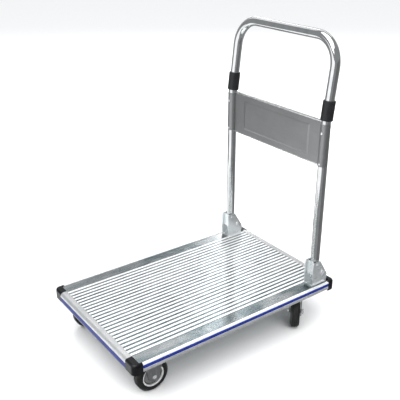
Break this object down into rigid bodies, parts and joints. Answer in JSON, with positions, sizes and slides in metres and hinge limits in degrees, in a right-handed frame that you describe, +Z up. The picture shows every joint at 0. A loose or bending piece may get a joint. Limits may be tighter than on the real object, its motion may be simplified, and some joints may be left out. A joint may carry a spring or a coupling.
{
  "type": "folding platform cart",
  "caption": "Flat ribbed deck on rigid front and swivel rear casters, with a bent tube push handle that folds forward on to the deck.",
  "frame": {"origin": "on the floor below the centre of the deck", "axes": "+X to the right, +Y towards the push handle, +Z up"},
  "size_m": [0.48, 0.74, 0.91],
  "materials": {
    "deck_aluminium": "bright extruded, ribbed",
    "rail_aluminium": "extruded, satin",
    "blue_strip": "flexible blue edge strip",
    "black_cap": "moulded black",
    "galvanised_steel": "zinc plated",
    "bright_fastener": "bright zinc",
    "chrome_tube": "polished tube",
    "black_sleeve": "satin black",
    "panel_steel": "satin grey sheet",
    "black_tyre": "solid rubber",
    "grey_hub": "moulded hub",
    "bush_steel": "plain bush"
  },
  "bodies": {
    "platform": {"deck_panel": "deck_aluminium", "end_rail_front": "rail_aluminium", "end_rail_rear": "rail_aluminium", "side_rail_left": "rail_aluminium", "side_rail_right": "rail_aluminium", "bumper_strip_front": "blue_strip", "bumper_strip_rear": "blue_strip", "bumper_strip_left": "blue_strip", "bumper_strip_right": "blue_strip", "corner_cap_front_left": "black_cap", "corner_cap_front_right": "black_cap", "corner_cap_rear_left": "black_cap", "corner_cap_rear_right": "black_cap", "cross_member_front": "galvanised_steel", "cross_member_middle": "galvanised_steel", "cross_member_rear": "galvanised_steel", "hinge_bracket_left": "galvanised_steel", "rigid_fork_left": "galvanised_steel", "swivel_plate_left": "galvanised_steel", "hinge_bracket_right": "galvanised_steel", "rigid_fork_right": "galvanised_steel", "swivel_plate_right": "galvanised_steel", "bracket_rivets": "bright_fastener", "pivot_pins": "bright_fastener", "rigid_axle_bolts": "bright_fastener", "rigid_axle_nuts": "bright_fastener", "caster_bolts": "bright_fastener", "caster_nuts": "bright_fastener", "kingpins": "bright_fastener", "race_balls": "bright_fastener"},
    "handle": {"hinge_clevis_left": "galvanised_steel", "handle_leg_left": "chrome_tube", "joint_sleeve_left": "black_sleeve", "joint_plug_left": "bright_fastener", "hinge_clevis_right": "galvanised_steel", "handle_leg_right": "chrome_tube", "joint_sleeve_right": "black_sleeve", "joint_plug_right": "bright_fastener", "handle_bow": "chrome_tube", "back_panel": "panel_steel", "panel_rivets": "bright_fastener", "clevis_rivets": "bright_fastener"},
    "swivel_caster_left": {"swivel_fork_left": "galvanised_steel", "swivel_axle_bolt_left": "bright_fastener", "swivel_axle_nut_left": "bright_fastener"},
    "swivel_caster_right": {"swivel_fork_right": "galvanised_steel", "swivel_axle_bolt_right": "bright_fastener", "swivel_axle_nut_right": "bright_fastener"},
    "front_left_wheel": {"front_left_tyre": "black_tyre", "front_left_hub": "grey_hub", "front_left_bush": "bush_steel"},
    "front_right_wheel": {"front_right_tyre": "black_tyre", "front_right_hub": "grey_hub", "front_right_bush": "bush_steel"},
    "rear_left_wheel": {"rear_left_tyre": "black_tyre", "rear_left_hub": "grey_hub", "rear_left_bush": "bush_steel"},
    "rear_right_wheel": {"rear_right_tyre": "black_tyre", "rear_right_hub": "grey_hub", "rear_right_bush": "bush_steel"}
  },
  "joints": [
    {"name": "handle_fold", "type": "hinge", "parent": "platform", "child": "handle", "pos_m": [0, 0.321, 0.1795], "axis": [1, 0, 0], "range_deg": [0, 90]},
    {"name": "front_left_spin", "type": "hinge", "parent": "platform", "child": "front_left_wheel", "pos_m": [-0.186, -0.287, 0.05], "axis": [1, 0, 0], "continuous": true},
    {"name": "caster_left_swivel", "type": "hinge", "parent": "platform", "child": "swivel_caster_left", "pos_m": [-0.176, 0.266, 0.11], "axis": [0, 0, 1], "continuous": true},
    {"name": "rear_left_spin", "type": "hinge", "parent": "swivel_caster_left", "child": "rear_left_wheel", "pos_m": [-0.15408, 0.24408, 0.05], "axis": [0.7071, 0.7071, 0], "continuous": true},
    {"name": "front_right_spin", "type": "hinge", "parent": "platform", "child": "front_right_wheel", "pos_m": [0.186, -0.287, 0.05], "axis": [1, 0, 0], "continuous": true},
    {"name": "caster_right_swivel", "type": "hinge", "parent": "platform", "child": "swivel_caster_right", "pos_m": [0.176, 0.266, 0.11], "axis": [0, 0, 1], "continuous": true},
    {"name": "rear_right_spin", "type": "hinge", "parent": "swivel_caster_right", "child": "rear_right_wheel", "pos_m": [0.19792, 0.24408, 0.05], "axis": [0.7071, 0.7071, 0], "continuous": true}
  ]
}
